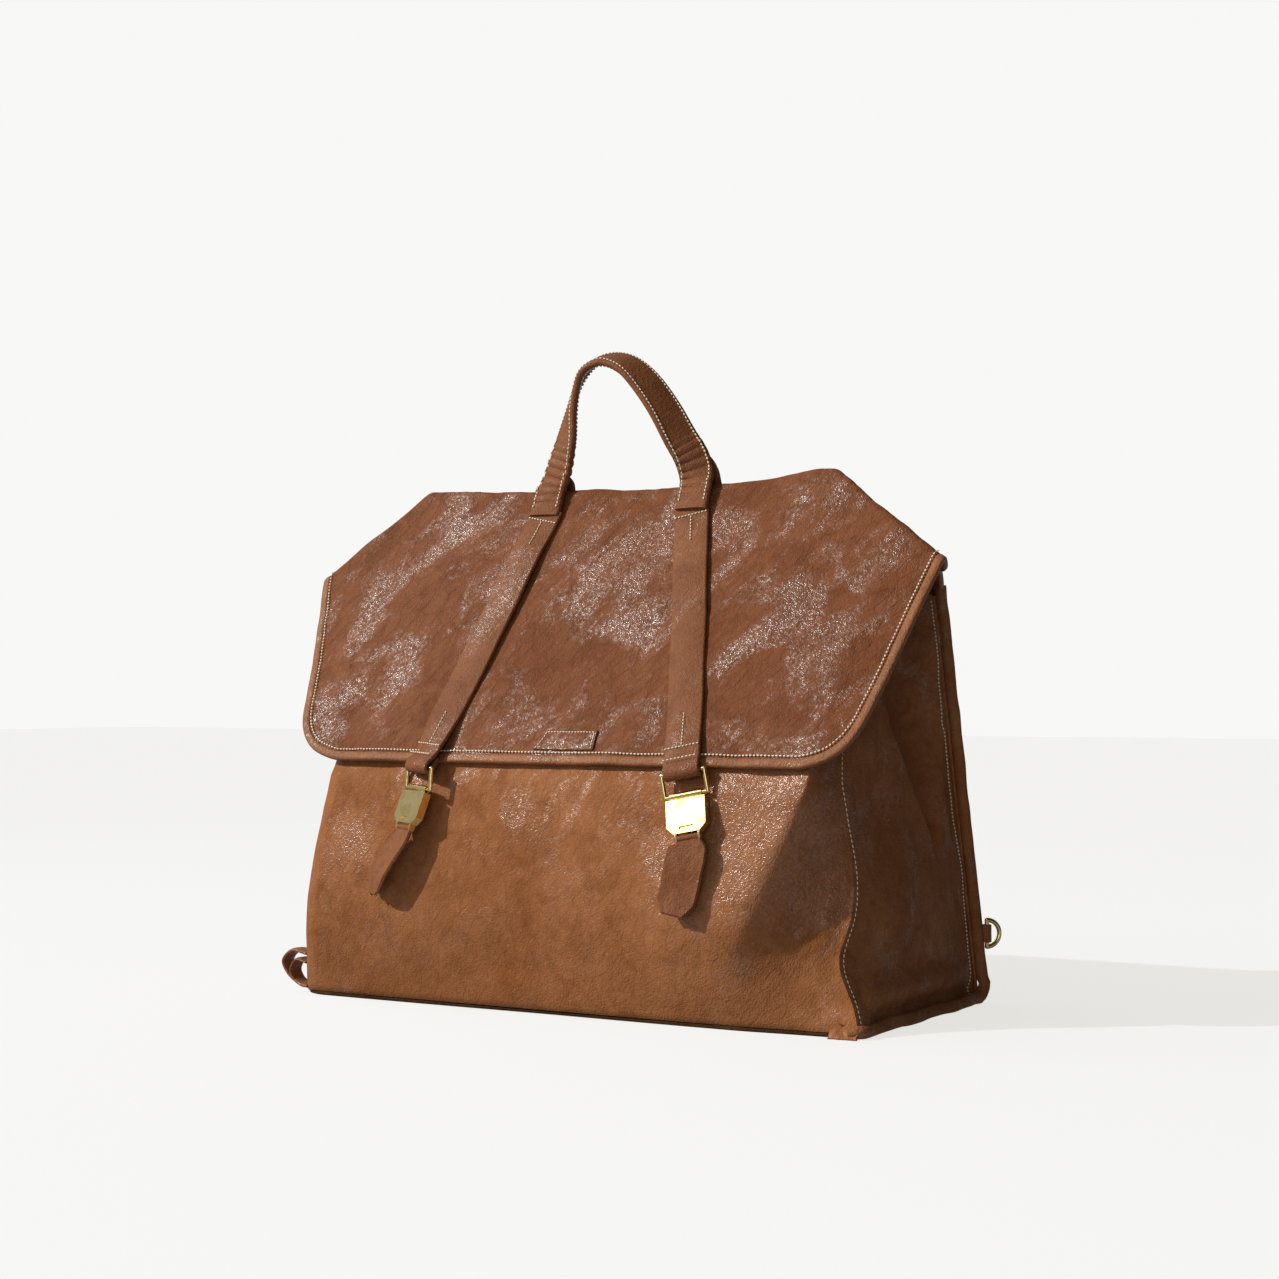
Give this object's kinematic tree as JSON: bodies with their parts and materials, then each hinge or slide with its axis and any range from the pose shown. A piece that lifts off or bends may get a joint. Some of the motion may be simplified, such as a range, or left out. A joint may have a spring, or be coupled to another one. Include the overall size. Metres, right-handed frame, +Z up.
{
  "type": "satchel bag",
  "caption": "Soft leather satchel with a hooded flap, two strap closures on brass hardware, a top handle and rear D-rings.",
  "frame": {"origin": "middle of the base, on the surface the bag stands on", "axes": "+X across the front towards the right side, +Y towards the back, +Z up"},
  "size_m": [0.4968, 0.247, 0.4625],
  "materials": {
    "body_leather": "glossy waxed leather, mid brown",
    "flap_leather": "glossy waxed leather, reddish brown",
    "strap_leather": "waxed leather strap, stitched",
    "edge_leather": "rolled leather edge, lighter orange brown",
    "lining_fabric": "cotton twill lining",
    "cord_core": "cotton cord core",
    "board": "pressed fibre board",
    "steel": "bare steel",
    "brass": "polished brass"
  },
  "bodies": {
    "body": {"base_panel": "body_leather", "base_board": "board", "front_panel": "body_leather", "back_panel": "body_leather", "gusset_left": "body_leather", "gusset_right": "body_leather", "welt_left": "edge_leather", "welt_right": "edge_leather", "mouth_binding": "edge_leather", "mouth_stay": "steel", "lining": "lining_fabric", "inner_pocket": "lining_fabric", "strike_left": "brass", "strike_right": "brass", "corner_tab_left": "edge_leather", "corner_tab_right": "edge_leather", "dring_tab_left": "edge_leather", "dring_tab_right": "edge_leather"},
    "flap": {"flap_front": "flap_leather", "flap_rear": "flap_leather", "flap_lining": "lining_fabric", "flap_binding": "edge_leather", "ridge_stay": "steel", "badge": "edge_leather", "strap_left": "strap_leather", "strap_right": "strap_leather", "handle_foot_left": "strap_leather", "handle_foot_right": "strap_leather"},
    "handle": {"handle_band": "strap_leather", "handle_core": "cord_core"},
    "ring_left": {"ring_left": "brass"},
    "clasp_left": {"clasp_case_left": "brass", "clasp_magnet_left": "steel", "tab_pin_left": "brass"},
    "tab_left": {"pull_tab_left": "strap_leather"},
    "dring_left": {"dring_left": "brass"},
    "ring_right": {"ring_right": "brass"},
    "clasp_right": {"clasp_case_right": "brass", "clasp_magnet_right": "steel", "tab_pin_right": "brass"},
    "tab_right": {"pull_tab_right": "strap_leather"},
    "dring_right": {"dring_right": "brass"}
  },
  "joints": [
    {"name": "flap_open", "type": "hinge", "parent": "body", "child": "flap", "pos_m": [0, 0.066, 0.292], "axis": [-1, 0, 0], "range_deg": [0, 120]},
    {"name": "handle_tilt", "type": "hinge", "parent": "flap", "child": "handle", "pos_m": [0, -0.013, 0.3725], "axis": [1, 0, 0], "range_deg": [-25, 25]},
    {"name": "ring_swing_left", "type": "hinge", "parent": "flap", "child": "ring_left", "pos_m": [-0.10523, -0.11824, 0.16699], "axis": [-0.9282, 0.3696, 0.0426], "range_deg": [-2, 45]},
    {"name": "clasp_swing_left", "type": "hinge", "parent": "ring_left", "child": "clasp_left", "pos_m": [-0.10606, -0.1186, 0.15202], "axis": [-0.9282, 0.3696, 0.0426], "range_deg": [0, 45]},
    {"name": "tab_bend_left", "type": "hinge", "parent": "clasp_left", "child": "tab_left", "pos_m": [-0.11082, -0.12747, 0.12524], "axis": [-0.9282, 0.3696, 0.0426], "range_deg": [-2, 45]},
    {"name": "dring_swing_left", "type": "hinge", "parent": "body", "child": "dring_left", "pos_m": [-0.22554, 0.10382, 0.049], "axis": [0, 0, 1], "range_deg": [-60, 60]},
    {"name": "ring_swing_right", "type": "hinge", "parent": "flap", "child": "ring_right", "pos_m": [0.10523, -0.11824, 0.16699], "axis": [-0.976, -0.0998, -0.1937], "range_deg": [-2, 45]},
    {"name": "clasp_swing_right", "type": "hinge", "parent": "ring_right", "child": "clasp_right", "pos_m": [0.10813, -0.11809, 0.15227], "axis": [-0.976, -0.0998, -0.1937], "range_deg": [0, 45]},
    {"name": "tab_bend_right", "type": "hinge", "parent": "clasp_right", "child": "tab_right", "pos_m": [0.11428, -0.12662, 0.12568], "axis": [-0.976, -0.0998, -0.1937], "range_deg": [-2, 45]},
    {"name": "dring_swing_right", "type": "hinge", "parent": "body", "child": "dring_right", "pos_m": [0.22554, 0.10382, 0.049], "axis": [0, 0, 1], "range_deg": [-60, 60]}
  ]
}
